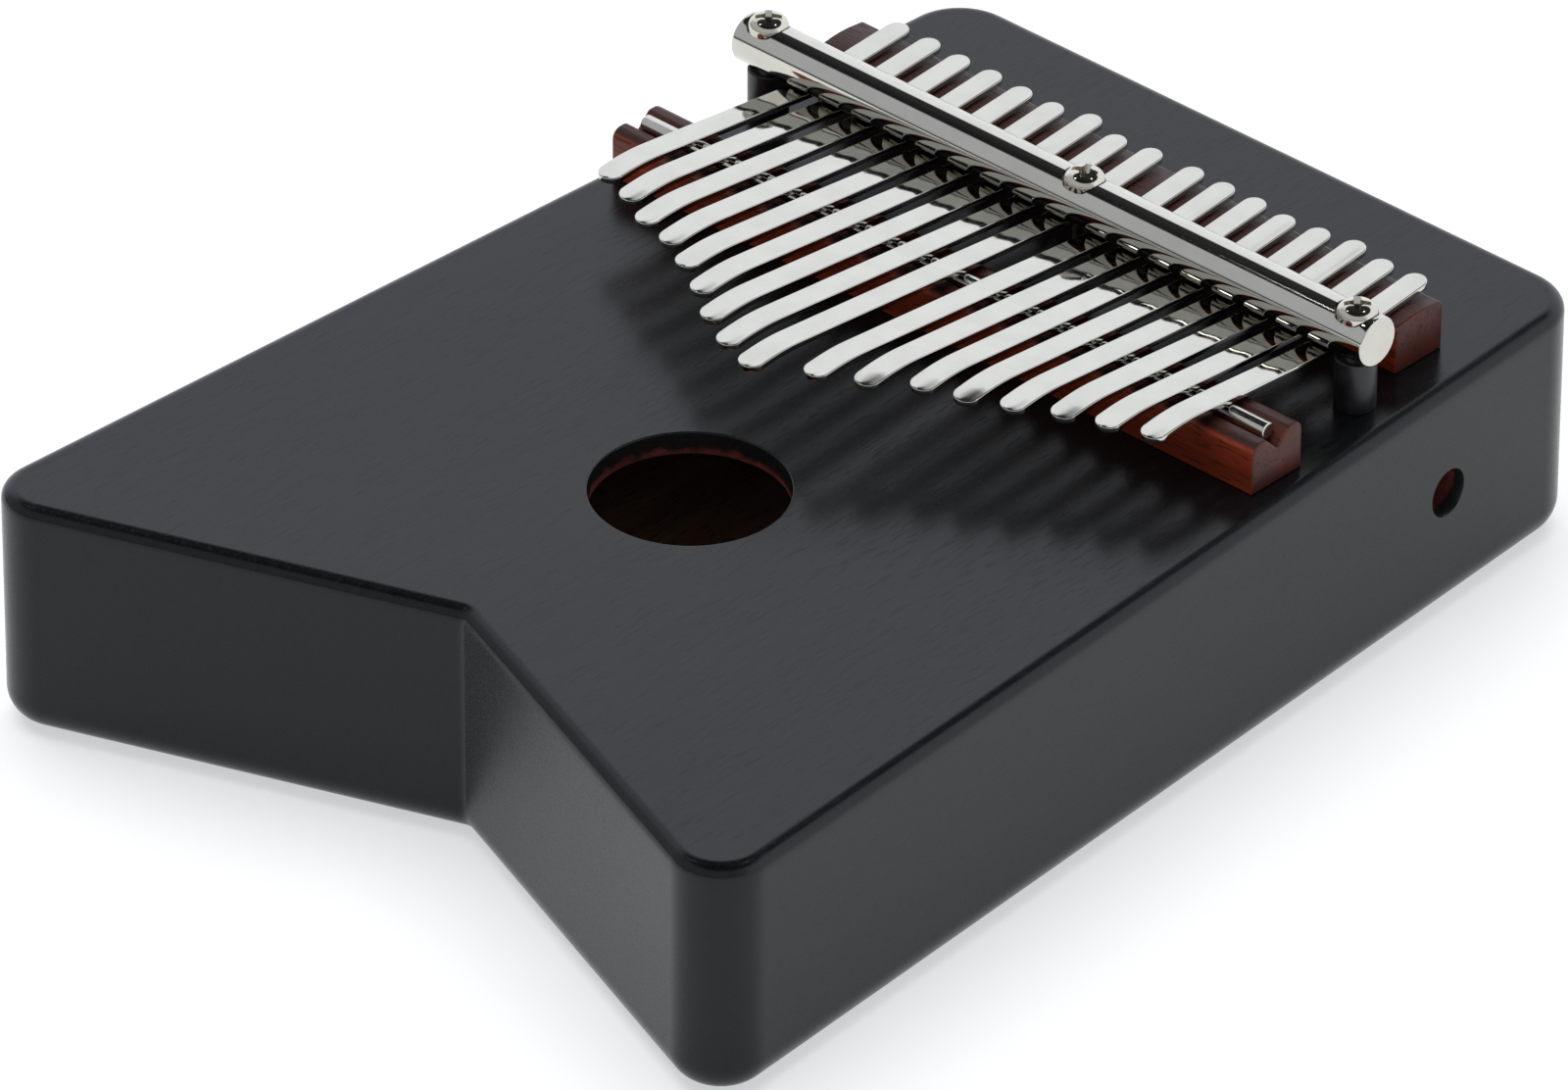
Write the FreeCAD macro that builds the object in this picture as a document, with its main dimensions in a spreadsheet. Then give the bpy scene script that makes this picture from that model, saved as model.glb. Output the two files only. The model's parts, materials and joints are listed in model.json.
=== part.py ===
import FreeCAD, Part
import math
import os
import Sketcher

# A seventeen-note box kalimba (mbira), in millimetres, as it lies on a table.
# X runs to the player's right, +Y from the arrow-shaped player's end to the far end, +Z up.
# The origin is the middle of the object's footprint, on the table.
# "Station" is a distance in +Y from the line through the two sharp near corners of the case.

DRIVING = {
    # the hollow case: a tapered box with an arrow-shaped cut in the near end
    "near_width": 131.1,
    "far_width": 110.7,
    "case_length": 178.4,
    "case_height": 34.8,
    "notch_depth": 24.6,
    "near_round": 6.9,
    "far_round": 8.4,
    "notch_round": 2.0,
    "top_round": 1.9,
    "back_round": 4.5,
    "board_thickness": 3.2,
    "back_thickness": 5.0,
    "wall_thickness": 9.4,
    "cavity_round": 5.0,
    "hole_radius": 13.1,
    "hole_offset": 1.75,
    "hole_station": 64.7,
    "vent_radius": 3.2,
    "vent_station": 149.2,
    "vent_height": 18.5,
    # the brace inside the case, which takes the screws
    "brace_station": 134.99,
    "brace_width": 9.0,
    "brace_depth": 12.0,
    "brace_length": 96.0,
    # everything on the soundboard is centred on this offset from the case's centreline
    "hardware_offset": -0.85,
    "front_bridge_station": 116.99,
    "front_bridge_width": 9.5,
    "front_bridge_length": 112.1,
    "bridge_height": 7.3,
    "bridge_round": 1.6,
    "groove_clearance": 0.03,
    "rod_radius": 1.25,
    "rod_length": 108.8,
    "rod_top": 8.14,
    "rear_bridge_station": 150.82,
    "rear_bridge_width": 9.06,
    "rear_bridge_length": 101.5,
    "rear_bridge_edge": 7.1,
    "rear_bridge_crown": 7.54,
    "bar_station": 137.49,
    "bar_radius": 3.5,
    "bar_length": 110.0,
    "bar_underside": 7.46,
    "bar_edge_round": 0.35,
    # fasteners: M3 pan heads with a cross recess, and the spacers under the bar's ends
    "screw_radius": 1.45,
    "screw_length": 26.0,
    "screw_hole_radius": 1.6,
    "pilot_radius": 1.5,
    "screw_spread": 51.4,
    "middle_screw_offset": 4.55,
    "head_radius": 2.75,
    "head_height": 2.2,
    "head_round": 1.2,
    "recess_width": 0.8,
    "recess_length": 3.2,
    "recess_depth": 1.1,
    "seat_radius": 2.95,
    "seat_height": 2.35,
    "post_radius": 2.8,
    # the tines
    "tine_width": 3.45,
    "tine_thickness": 0.85,
    "tine_end_round": 1.6,
    "tine_split_gap": 0.1,
    "rod_clearance": 0.12,
    "bar_clearance": 0.15,
    "tip_bend_run": 6.0,
}

# Tines from left to right: semitones above the lowest note, the extra length left by tuning, and how
# far the tail stands past the back of the rear bridge.
TINES = [
    (26, 0.43, 0.9),
    (23, 0.59, 0.8),
    (19, 0.84, 0.4),
    (16, 0.11, 0.4),
    (12, -0.22, 0.1),
    (9, 0.24, 0.0),
    (5, 0.28, 1.1),
    (2, -0.05, -0.3),
    (0, -0.36, 0.3),
    (4, 0.12, 0.5),
    (7, -0.02, 0.4),
    (11, -0.42, 0.4),
    (14, 0.21, -0.1),
    (17, 0.01, 0.5),
    (21, -0.43, 1.3),
    (24, -0.65, 0.4),
    (28, -0.70, 0.7),
]
LEFT_GROUP = 9
LONGEST_REACH = 44.83
REACH_TO_ROD = 5.21
LEFT_PITCH = 5.73
RIGHT_PITCH = 5.48
MIDDLE_TINE_X = 0.21
FIRST_RIGHT_X = 7.30
LEFT_YAW = (-1.29, -0.20)
RIGHT_YAW = (-1.15, 0.08)
TONGUE_SLOPE = 4.9
TIP_SLOPE = 7.5
TAIL_SLOPE = 5.6

doc = FreeCAD.newDocument("kalimba")
sheet = doc.addObject("Spreadsheet::Sheet", "dims")
row_count = 0


def put(alias, value):
    """Writes one number into the sheet under its alias."""
    global row_count
    row_count += 1
    sheet.set("A%d" % row_count, alias.replace("_", " "))
    sheet.set("B%d" % row_count, "%.6f" % value)
    sheet.setAlias("B%d" % row_count, alias)


def bind(thing, **formulas):
    """Ties properties of an object to formulas over the sheet's aliases."""
    for key, formula in formulas.items():
        thing.setExpression(key.replace("__", "."), formula)


def place(thing, x="0", y="0", z="0"):
    """Ties an object's place to formulas; y is a station."""
    bind(thing, Placement__Base__x=x, Placement__Base__y=y + " - dims.centre_station", Placement__Base__z=z)


# ---------------------------------------------------------------- derived numbers

def derive(d):
    """Numbers that follow from the driving ones."""
    half_angle = 0.5 * (
        math.atan2(2.0 * d["case_length"], d["near_width"] - d["far_width"])
        - math.atan2(2.0 * d["notch_depth"], d["near_width"])
    )
    bisector = half_angle + math.atan2(2.0 * d["notch_depth"], d["near_width"])
    lobe_centre = d["near_round"] / math.sin(half_angle) * math.sin(bisector)
    lobe_station = lobe_centre - d["near_round"]
    taper = 0.5 * (d["near_width"] - d["far_width"]) / d["case_length"]
    slant = 2.0 * d["notch_depth"] / d["near_width"]
    side_shift = d["wall_thickness"] * math.hypot(1.0, taper)
    notch_shift = d["wall_thickness"] * math.hypot(1.0, slant)
    inner_half = (0.5 * d["near_width"] - side_shift - taper * (d["notch_depth"] + notch_shift))
    inner_half /= 1.0 - taper * slant
    inner_far = d["case_length"] - d["wall_thickness"]
    return {
        "centre_station": 0.5 * (lobe_station + d["case_length"]),
        "inner_near_width": 2.0 * inner_half,
        "inner_near_station": d["notch_depth"] + notch_shift - slant * inner_half,
        "inner_far_width": d["near_width"] - 2.0 * (side_shift + taper * inner_far),
        "inner_far_station": inner_far,
        "inner_notch_station": d["notch_depth"] + notch_shift,
        "vent_x": 0.5 * d["near_width"] - taper * d["vent_station"],
        "zero": 0.0,
        "rod_height": d["rod_top"] - d["rod_radius"],
        "groove_floor": groove_floor(d),
        "groove_half_width": d["bridge_height"] - groove_floor(d),
        "crown_radius": arc_radius(d["rear_bridge_width"], d["rear_bridge_crown"] - d["rear_bridge_edge"]),
        "front_run": d["bar_station"] - d["front_bridge_station"],
        "front_drop": d["rod_top"] + d["rod_clearance"] - valley_underside(d),
        "valley_underside": valley_underside(d),
        "tine_underside": d["rod_top"] + d["rod_clearance"],
        "tip_drop": d["tip_bend_run"] * math.tan(math.radians(TIP_SLOPE)),
    }


def arc_radius(chord, rise):
    """Radius of an arc from its chord and its rise."""
    return (0.25 * chord * chord + rise * rise) / (2.0 * rise)


def groove_floor(d):
    """Height of the bottom of the rod's right-angled V groove over the soundboard."""
    return d["rod_top"] - d["rod_radius"] - (d["rod_radius"] + d["groove_clearance"]) * math.sqrt(2.0)


def valley_underside(d):
    """Height of a tine's lowest underside over the soundboard, below the bar."""
    return d["bar_underside"] - d["bar_clearance"] - d["tine_thickness"]


def tine_numbers(d):
    """One tuple per tine: tongue length, tail run behind the bar, x under the bar, yaw."""
    rows = []
    back_of_bridge = d["rear_bridge_station"] + 0.5 * d["rear_bridge_width"]
    for index, (semitones, trim, overhang) in enumerate(TINES):
        tongue = LONGEST_REACH * 2.0 ** (-semitones / 24.0) - REACH_TO_ROD + trim
        tail = back_of_bridge + overhang - d["bar_station"]
        if index < LEFT_GROUP:
            steps = LEFT_GROUP - 1 - index
            x = MIDDLE_TINE_X - LEFT_PITCH * steps
            yaw = LEFT_YAW[0] + LEFT_YAW[1] * steps
        else:
            steps = index - LEFT_GROUP
            x = FIRST_RIGHT_X + RIGHT_PITCH * steps
            yaw = RIGHT_YAW[0] + RIGHT_YAW[1] * steps
        rows.append((tongue, tail, x, yaw))
    return rows


for alias, value in DRIVING.items():
    put(alias, value)
derived = derive(DRIVING)
for alias, value in derived.items():
    put(alias, value)
tines = tine_numbers(DRIVING)
for number, (tongue, tail, bar_x, yaw) in enumerate(tines, 1):
    knee_run = tongue - DRIVING["tip_bend_run"]
    put("tine_%02d_knee_run" % number, knee_run)
    put("tine_%02d_knee_rise" % number, knee_run * math.tan(math.radians(TONGUE_SLOPE)))
    put("tine_%02d_tail_run" % number, tail)
    put("tine_%02d_tail_rise" % number, tail * math.tan(math.radians(TAIL_SLOPE)))
    put("tine_%02d_rod_x" % number, bar_x + derived["front_run"] * math.tan(math.radians(yaw)))
    put("tine_%02d_yaw" % number, yaw)
doc.recompute()


# ---------------------------------------------------------------- tools

def origin_plane(body, role):
    """The body's own origin plane of that role."""
    return [f for f in body.Origin.OriginFeatures if f.Role == role][0]


def new_body(label):
    body = doc.addObject("PartDesign::Body", label)
    body.Label = label
    return body


def new_sketch(body, name, role, lift=None):
    """A sketch on one of the body's origin planes, lifted off it by a formula if one is given."""
    sketch = body.newObject("Sketcher::SketchObject", name)
    sketch.AttachmentSupport = [(origin_plane(body, role), "")]
    sketch.MapMode = "FlatFace"
    if lift:
        sketch.setExpression("AttachmentOffset.Base.z", lift)
    return sketch


def closed_polygon(sketch, points):
    """Adds straight edges round the points and joins them end to end."""
    count = len(points)
    corners = [FreeCAD.Vector(x, y, 0) for x, y in points]
    for i in range(count):
        sketch.addGeometry(Part.LineSegment(corners[i], corners[(i + 1) % count]), False)
    for i in range(count):
        sketch.addConstraint(Sketcher.Constraint("Coincident", i, 2, (i + 1) % count, 1))


def measure(sketch, kind, first, second, value, formula):
    """A driving dimension between two (edge, end) points, tied to a formula."""
    index = sketch.addConstraint(Sketcher.Constraint(kind, *first, *second, value))
    sketch.setExpression("Constraints[%d]" % index, formula)


ORIGIN = (-1, 1)


def centred_circle(sketch, radius, formula):
    """A circle round the sketch's origin with a bound radius."""
    index = sketch.addGeometry(Part.Circle(FreeCAD.Vector(0, 0, 0), FreeCAD.Vector(0, 0, 1), radius), False)
    bound = sketch.addConstraint(Sketcher.Constraint("Radius", index, radius))
    sketch.setExpression("Constraints[%d]" % bound, formula)
    sketch.addConstraint(Sketcher.Constraint("Coincident", index, 3, *ORIGIN))


def pad(body, sketch, name, formula, symmetric=False):
    feature = body.newObject("PartDesign::Pad", name)
    feature.Profile = sketch
    if symmetric:
        feature.SideType = "Symmetric"
    feature.setExpression("Length", formula)
    doc.recompute()
    return feature


def pocket(body, sketch, name, formula=None, reversed_way=False):
    """Cuts a sketch into the body, through everything unless a depth is given, and checks that it cut."""
    before = body.Shape.Volume
    feature = body.newObject("PartDesign::Pocket", name)
    feature.Profile = sketch
    feature.Reversed = reversed_way
    if formula:
        feature.setExpression("Length", formula)
    else:
        feature.Type = "ThroughAll"
    doc.recompute()
    if body.Shape.Volume >= before - 0.01:
        raise RuntimeError(name + " cuts nothing")
    return feature


def edge_names(shape, wanted):
    """Names of the shape's edges that the test accepts."""
    return ["Edge%d" % i for i, edge in enumerate(shape.Edges, 1) if wanted(edge)]


def fillet(body, base, name, radius_formula, wanted):
    names = edge_names(base.Shape, wanted)
    if not names:
        raise RuntimeError(name + " has no edges")
    feature = body.newObject("PartDesign::Fillet", name)
    feature.Base = (base, names)
    feature.setExpression("Radius", radius_formula)
    doc.recompute()
    return feature


def straight(edge, axis):
    """True for a straight edge along an axis."""
    if edge.Curve.TypeId != "Part::GeomLine":
        return False
    return abs(abs(edge.Curve.Direction.dot(axis)) - 1.0) < 1e-6


def at_height(edge, z):
    return abs(edge.BoundBox.ZMin - z) < 1e-4 and abs(edge.BoundBox.ZMax - z) < 1e-4


def primitive(kind, name, **formulas):
    thing = doc.addObject("Part::" + kind, name)
    bind(thing, **formulas)
    return thing


def boolean(kind, label, base, *tools):
    """A Part boolean; several tools are fused first."""
    tool = tools[0]
    if len(tools) > 1:
        tool = doc.addObject("Part::MultiFuse", label + "_tools")
        tool.Shapes = list(tools)
    result = doc.addObject("Part::" + kind, label)
    result.Label = label
    result.Base = base
    result.Tool = tool
    return result


X_AXIS = FreeCAD.Vector(1, 0, 0)
Y_AXIS = FreeCAD.Vector(0, 1, 0)
Z_AXIS = FreeCAD.Vector(0, 0, 1)
TO_X = FreeCAD.Rotation(Y_AXIS, 90)
BOARD_TOP = "dims.case_height"


# ---------------------------------------------------------------- the case

def outline(body, name, near_width, far_width, near_station, far_station, notch_station):
    """The five-sided plan of the case: a taper with an arrow-shaped cut. All five names are aliases."""
    value = {**DRIVING, **derived}
    half_near = 0.5 * value[near_width]
    half_far = 0.5 * value[far_width]
    near, far, notch = value[near_station], value[far_station], value[notch_station]
    sketch = new_sketch(body, name, "XY_Plane")
    corners = [(-half_far, far), (half_far, far), (half_near, near), (0, notch), (-half_near, near)]
    closed_polygon(sketch, corners)
    sketch.addConstraint(Sketcher.Constraint("Symmetric", 0, 1, 0, 2, -2))
    sketch.addConstraint(Sketcher.Constraint("Symmetric", 1, 2, 3, 2, -2))
    sketch.addConstraint(Sketcher.Constraint("PointOnObject", 2, 2, -2))
    measure(sketch, "DistanceX", (0, 1), (0, 2), value[far_width], "dims." + far_width)
    measure(sketch, "DistanceX", (3, 2), (1, 2), value[near_width], "dims." + near_width)
    measure(sketch, "DistanceY", ORIGIN, (0, 2), far, "dims." + far_station)
    measure(sketch, "DistanceY", ORIGIN, (1, 2), near, "dims." + near_station)
    measure(sketch, "DistanceY", ORIGIN, (2, 2), notch, "dims." + notch_station)
    return sketch


def vertical_at(station_low, station_high):
    """A test for vertical edges within a band of stations."""
    return lambda edge: straight(edge, Z_AXIS) and station_low <= edge.BoundBox.YMin <= station_high


def make_case_form():
    """The outer form of the closed case, with all its rounded edges, before it is split into plates."""
    body = new_body("case_form")
    sketch = outline(body, "case_plan", "near_width", "far_width", "zero", "case_length", "notch_depth")
    step = pad(body, sketch, "case_pad", "dims.case_height")
    notch = DRIVING["notch_depth"]
    far = DRIVING["case_length"]
    step = fillet(body, step, "near_corners", "dims.near_round", vertical_at(-1.0, 1.0))
    step = fillet(body, step, "far_corners", "dims.far_round", vertical_at(far - 1.0, far + 1.0))
    step = fillet(body, step, "notch_corner", "dims.notch_round", vertical_at(notch - 1.0, notch + 1.0))
    step = fillet(body, step, "back_edge", "dims.back_round", lambda edge: at_height(edge, 0.0))
    top = DRIVING["case_height"]
    fillet(body, step, "top_edge", "dims.top_round", lambda edge: at_height(edge, top))
    place(body, y="0")
    return body


def make_cavity_form():
    """The hollow inside the case's frame."""
    body = new_body("cavity_form")
    sketch = outline(
        body, "cavity_plan", "inner_near_width", "inner_far_width",
        "inner_near_station", "inner_far_station", "inner_notch_station",
    )
    step = pad(body, sketch, "cavity_pad", "dims.case_height")
    fillet(body, step, "cavity_corners", "dims.cavity_round", lambda edge: straight(edge, Z_AXIS))
    place(body, y="0")
    return body


def slab(name, low, height):
    """A wide flat block that cuts one layer out of the case form."""
    block = primitive("Box", name, Length="2 * dims.near_width", Width="2 * dims.case_length", Height=height)
    place(block, x="-dims.near_width", y="-dims.case_length / 2", z=low)
    return block


def upright_hole(name, x, station, low, height, radius):
    """A vertical cylinder used as a cutter."""
    tool = primitive("Cylinder", name, Radius=radius, Height=height)
    place(tool, x=x, y=station, z=low)
    return tool


SCREW_X = {
    "left": "dims.hardware_offset - dims.screw_spread",
    "middle": "dims.hardware_offset + dims.middle_screw_offset",
    "right": "dims.hardware_offset + dims.screw_spread",
}


def screw_holes(owner, low, height, radius, sides=("left", "middle", "right")):
    return [
        upright_hole("%s_%s_hole" % (owner, side), SCREW_X[side], "dims.bar_station", low, height, radius)
        for side in sides
    ]


def make_case():
    """Soundboard, frame and back: three layers of one rounded form, and the brace under the soundboard."""
    form = make_case_form()
    cavity = make_cavity_form()
    board_low = "dims.case_height - dims.board_thickness"

    board = boolean("Common", "board_blank", form, slab("board_slab", board_low, "dims.board_thickness"))
    sound_hole = upright_hole(
        "sound_hole", "dims.hole_offset", "dims.hole_station", board_low, "dims.board_thickness",
        "dims.hole_radius")
    holes = screw_holes("board", board_low, "dims.board_thickness", "dims.screw_hole_radius")
    boolean("Cut", "soundboard", board, sound_hole, *holes)

    rim_height = "dims.case_height - dims.board_thickness - dims.back_thickness"
    rim = boolean("Common", "rim_blank", form, slab("rim_slab", "dims.back_thickness", rim_height))
    vent = primitive("Cylinder", "vent_drill", Radius="dims.vent_radius", Height="3 * dims.wall_thickness")
    vent.Placement.Rotation = TO_X
    place(vent, x="dims.vent_x - 2 * dims.wall_thickness", y="dims.vent_station", z="dims.vent_height")
    rim_pilots = screw_holes(
        "rim", board_low + " - dims.brace_depth", "dims.brace_depth", "dims.pilot_radius", ("left", "right"))
    boolean("Cut", "body_rim", rim, cavity, vent, *rim_pilots)

    boolean("Common", "back_plate", form, slab("back_slab", "0", "dims.back_thickness"))

    brace = primitive(
        "Box", "brace_blank", Length="dims.brace_length", Width="dims.brace_width", Height="dims.brace_depth")
    place(brace, x="-dims.brace_length / 2", y="dims.brace_station - dims.brace_width / 2",
          z=board_low + " - dims.brace_depth")
    brace_pilots = screw_holes(
        "brace", board_low + " - dims.brace_depth", "dims.brace_depth", "dims.pilot_radius", ("middle",))
    boolean("Cut", "screw_brace", brace, *brace_pilots)


# ---------------------------------------------------------------- bridges and rod

def make_front_bridge():
    """A wooden rail with a V groove along its top, which holds the rod."""
    body = new_body("front_bridge")
    half = 0.5 * DRIVING["front_bridge_width"]
    height = DRIVING["bridge_height"]
    groove = derived["groove_half_width"]
    floor = derived["groove_floor"]
    sketch = new_sketch(body, "front_bridge_profile", "YZ_Plane")
    closed_polygon(sketch, [
        (-half, 0), (half, 0), (half, height), (groove, height), (0, floor), (-groove, height), (-half, height)])
    for edge, kind in ((1, "Vertical"), (2, "Horizontal"), (5, "Horizontal"), (6, "Vertical")):
        sketch.addConstraint(Sketcher.Constraint(kind, edge))
    sketch.addConstraint(Sketcher.Constraint("Symmetric", 0, 1, 0, 2, -2))
    sketch.addConstraint(Sketcher.Constraint("Symmetric", 2, 2, 4, 2, -2))
    sketch.addConstraint(Sketcher.Constraint("PointOnObject", 0, 1, -1))
    sketch.addConstraint(Sketcher.Constraint("PointOnObject", 3, 2, -2))
    measure(sketch, "DistanceX", (0, 1), (0, 2), 2 * half, "dims.front_bridge_width")
    measure(sketch, "DistanceY", (0, 2), (1, 2), height, "dims.bridge_height")
    measure(sketch, "DistanceX", (4, 2), (2, 2), 2 * groove, "2 * dims.groove_half_width")
    measure(sketch, "DistanceY", ORIGIN, (3, 2), floor, "dims.groove_floor")
    step = pad(body, sketch, "front_bridge_pad", "dims.front_bridge_length", symmetric=True)

    def top_corner(edge):
        high = at_height(edge, height)
        return high and straight(edge, X_AXIS) and abs(abs(edge.BoundBox.YMin) - half) < 0.01

    fillet(body, step, "front_bridge_round", "dims.bridge_round", top_corner)
    place(body, x="dims.hardware_offset", y="dims.front_bridge_station", z=BOARD_TOP)


def make_rear_bridge():
    """A wooden rail with a gently crowned top, which carries the tails of the tines."""
    body = new_body("rear_bridge")
    half = 0.5 * DRIVING["rear_bridge_width"]
    edge_height = DRIVING["rear_bridge_edge"]
    radius = derived["crown_radius"]
    centre_height = DRIVING["rear_bridge_crown"] - radius
    sketch = new_sketch(body, "rear_bridge_profile", "YZ_Plane")
    corners = [(-half, edge_height), (-half, 0), (half, 0), (half, edge_height)]
    for (x1, y1), (x2, y2) in zip(corners, corners[1:]):
        sketch.addGeometry(Part.LineSegment(FreeCAD.Vector(x1, y1, 0), FreeCAD.Vector(x2, y2, 0)), False)
    spread = math.asin(half / radius)
    crown = Part.Circle(FreeCAD.Vector(0, centre_height, 0), Z_AXIS, radius)
    sketch.addGeometry(Part.ArcOfCircle(crown, math.pi / 2 - spread, math.pi / 2 + spread), False)
    for first, second in (((0, 2), (1, 1)), ((1, 2), (2, 1)), ((2, 2), (3, 1)), ((3, 2), (0, 1))):
        sketch.addConstraint(Sketcher.Constraint("Coincident", *first, *second))
    for edge in (0, 2):
        sketch.addConstraint(Sketcher.Constraint("Vertical", edge))
    sketch.addConstraint(Sketcher.Constraint("Symmetric", 1, 1, 1, 2, -2))
    sketch.addConstraint(Sketcher.Constraint("PointOnObject", 1, 1, -1))
    sketch.addConstraint(Sketcher.Constraint("Equal", 0, 2))
    measure(sketch, "DistanceX", (1, 1), (1, 2), 2 * half, "dims.rear_bridge_width")
    measure(sketch, "DistanceY", (1, 1), (0, 1), edge_height, "dims.rear_bridge_edge")
    bound = sketch.addConstraint(Sketcher.Constraint("Radius", 3, radius))
    sketch.setExpression("Constraints[%d]" % bound, "dims.crown_radius")
    pad(body, sketch, "rear_bridge_pad", "dims.rear_bridge_length", symmetric=True)
    place(body, x="dims.hardware_offset", y="dims.rear_bridge_station", z=BOARD_TOP)


def round_bar(label, radius, length, edge_round):
    """A round bar along X, centred on its own origin, with softened ends."""
    body = new_body(label)
    sketch = new_sketch(body, label + "_section", "YZ_Plane")
    centred_circle(sketch, DRIVING[radius], "dims." + radius)
    step = pad(body, sketch, label + "_pad", "dims." + length, symmetric=True)
    fillet(body, step, label + "_ends", edge_round, lambda edge: edge.Curve.TypeId == "Part::GeomCircle")
    return body


def make_rod():
    body = round_bar("bridge_rod", "rod_radius", "rod_length", "dims.rod_radius / 5")
    place(body, x="dims.hardware_offset", y="dims.front_bridge_station", z=BOARD_TOP + " + dims.rod_height")


def make_bar():
    """The bar that clamps the tines, with a flat seat and a hole for each screw."""
    body = round_bar("pressure_bar", "bar_radius", "bar_length", "dims.bar_edge_round")
    offsets = {
        "left": "-dims.screw_spread",
        "middle": "dims.middle_screw_offset",
        "right": "dims.screw_spread",
    }
    spread = DRIVING["screw_spread"]
    places = {"left": -spread, "middle": DRIVING["middle_screw_offset"], "right": spread}
    for kind, radius, lift in (("seat", "seat_radius", "dims.seat_height"), ("hole", "screw_hole_radius", None)):
        sketch = new_sketch(body, "bar_" + kind + "s", "XY_Plane", lift)
        for index, side in enumerate(offsets):
            size = DRIVING[radius]
            sketch.addGeometry(Part.Circle(FreeCAD.Vector(places[side], 0, 0), Z_AXIS, size), False)
            sketch.addConstraint(Sketcher.Constraint("PointOnObject", index, 3, -1))
            bound = sketch.addConstraint(Sketcher.Constraint("Radius", index, size))
            sketch.setExpression("Constraints[%d]" % bound, "dims." + radius)
            ends = [(index, 3), ORIGIN] if side == "left" else [ORIGIN, (index, 3)]
            formula = offsets[side].lstrip("-")
            measure(sketch, "DistanceX", *ends, abs(places[side]), formula)
        if kind == "seat":
            pocket(body, sketch, "bar_seat_cut", "dims.bar_radius", reversed_way=True)
        else:
            cut = pocket(body, sketch, "bar_hole_cut")
            cut.Midplane = True
            doc.recompute()
    place(body, x="dims.hardware_offset", y="dims.bar_station",
          z=BOARD_TOP + " + dims.bar_underside + dims.bar_radius")


# ---------------------------------------------------------------- fasteners

def make_post(side):
    """A spacer sleeve round the screw, between the soundboard and the bar."""
    sleeve = upright_hole(
        side + "_post_blank", SCREW_X[side], "dims.bar_station", BOARD_TOP, "dims.bar_underside",
        "dims.post_radius")
    bore = upright_hole(
        side + "_post_bore", SCREW_X[side], "dims.bar_station", BOARD_TOP, "dims.bar_underside",
        "dims.screw_hole_radius")
    boolean("Cut", side + "_post", sleeve, bore)


def make_screw(side):
    """A cross-recessed pan-head screw, seated in the bar and run into the wood below."""
    seat = BOARD_TOP + " + dims.bar_underside + dims.bar_radius + dims.seat_height"
    label = side + "_screw"
    shank = upright_hole(
        label + "_shank", SCREW_X[side], "dims.bar_station", seat + " - dims.screw_length",
        "dims.screw_length", "dims.screw_radius")
    head = upright_hole(
        label + "_head_blank", SCREW_X[side], "dims.bar_station", seat, "dims.head_height",
        "dims.head_radius")
    doc.recompute()
    top = head.Placement.Base.z + DRIVING["head_height"]
    dome = doc.addObject("Part::Fillet", label + "_dome")
    dome.Base = head
    dome.Edges = [
        (i, DRIVING["head_round"], DRIVING["head_round"])
        for i, edge in enumerate(head.Shape.Edges, 1) if at_height(edge, top)
    ]
    slots = []
    for name, length, width in (
        ("x", "dims.recess_length", "dims.recess_width"), ("y", "dims.recess_width", "dims.recess_length")
    ):
        slot = primitive("Box", label + "_recess_" + name, Length=length, Width=width, Height="dims.recess_depth")
        place(slot, x=SCREW_X[side] + " - " + length + " / 2", y="dims.bar_station - " + width + " / 2",
              z=seat + " + dims.head_height - dims.recess_depth")
        slots.append(slot)
    whole = doc.addObject("Part::MultiFuse", label + "_blank")
    whole.Shapes = [shank, dome]
    boolean("Cut", label, whole, *slots)


# ---------------------------------------------------------------- tines

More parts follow.
